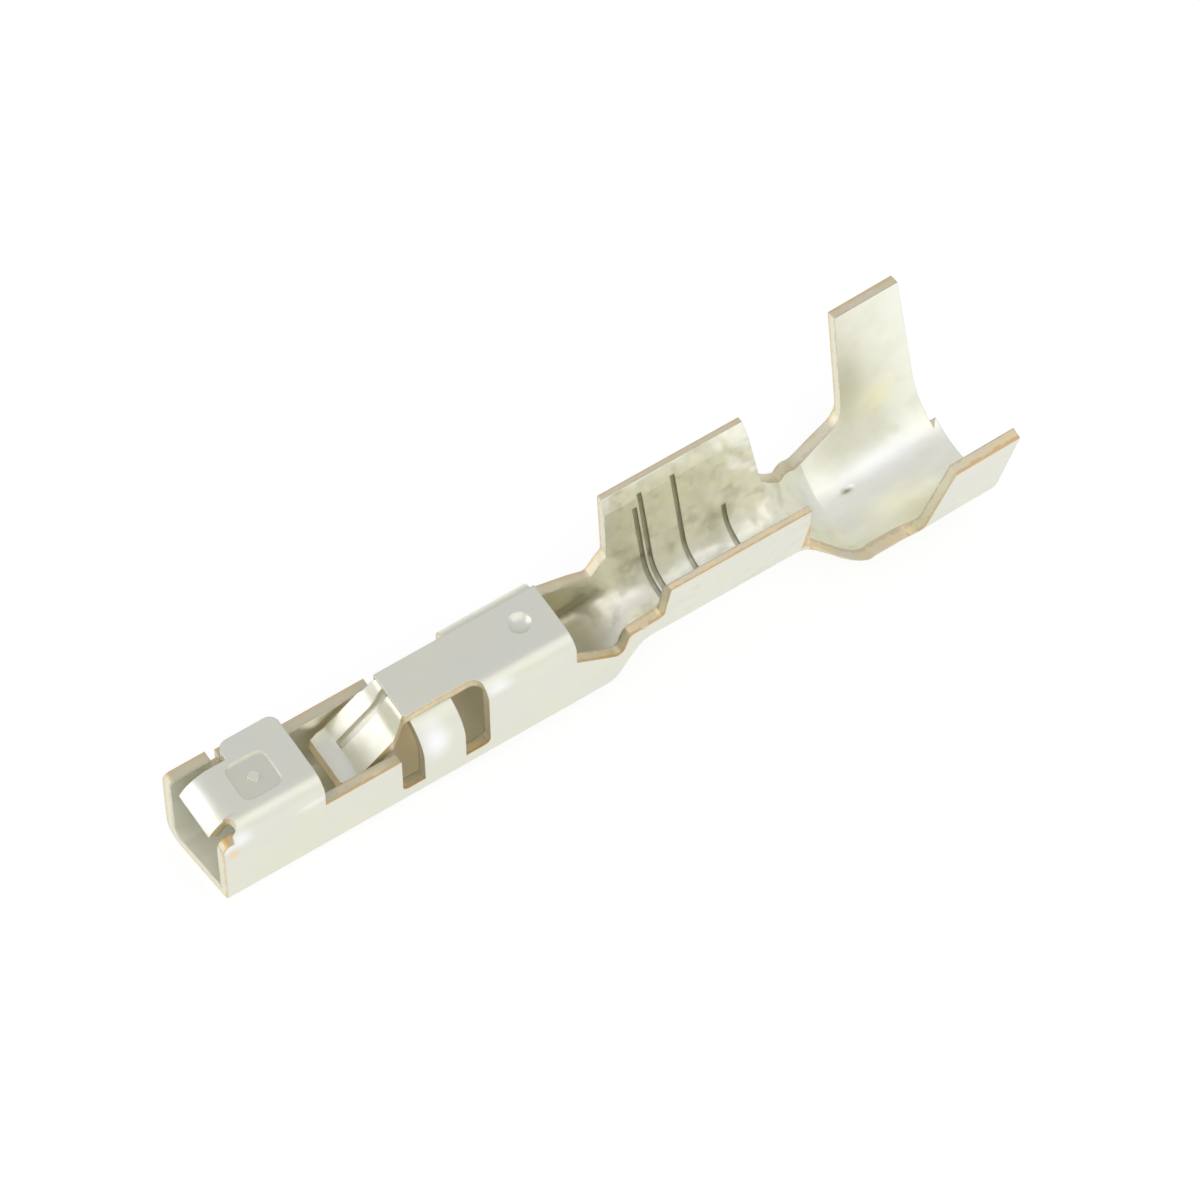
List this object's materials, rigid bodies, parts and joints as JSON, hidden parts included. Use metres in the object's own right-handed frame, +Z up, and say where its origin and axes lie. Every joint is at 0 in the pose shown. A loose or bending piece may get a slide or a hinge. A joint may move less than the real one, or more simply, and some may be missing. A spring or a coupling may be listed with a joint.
{
  "type": "crimp terminal",
  "caption": "Female crimp contact folded from plated sheet: a box with a spring beam for a square pin, then a conductor barrel and an insulation barrel.",
  "frame": {"origin": "on the underside of the box floor, in the middle of its width, level with the front edge of the fold-side wall at the mouth", "axes": "+X along the terminal from the mouth towards the wire, +Y towards the side wall that carries the seam, +Z up out of the open barrels"},
  "size_m": [0.0147, 0.0036, 0.0033],
  "materials": {
    "tin_plate": "satin, bright tin over a copper alloy, with bare cut edges"
  },
  "bodies": {
    "root": {"crimp_terminal": "tin_plate"}
  },
  "joints": []
}
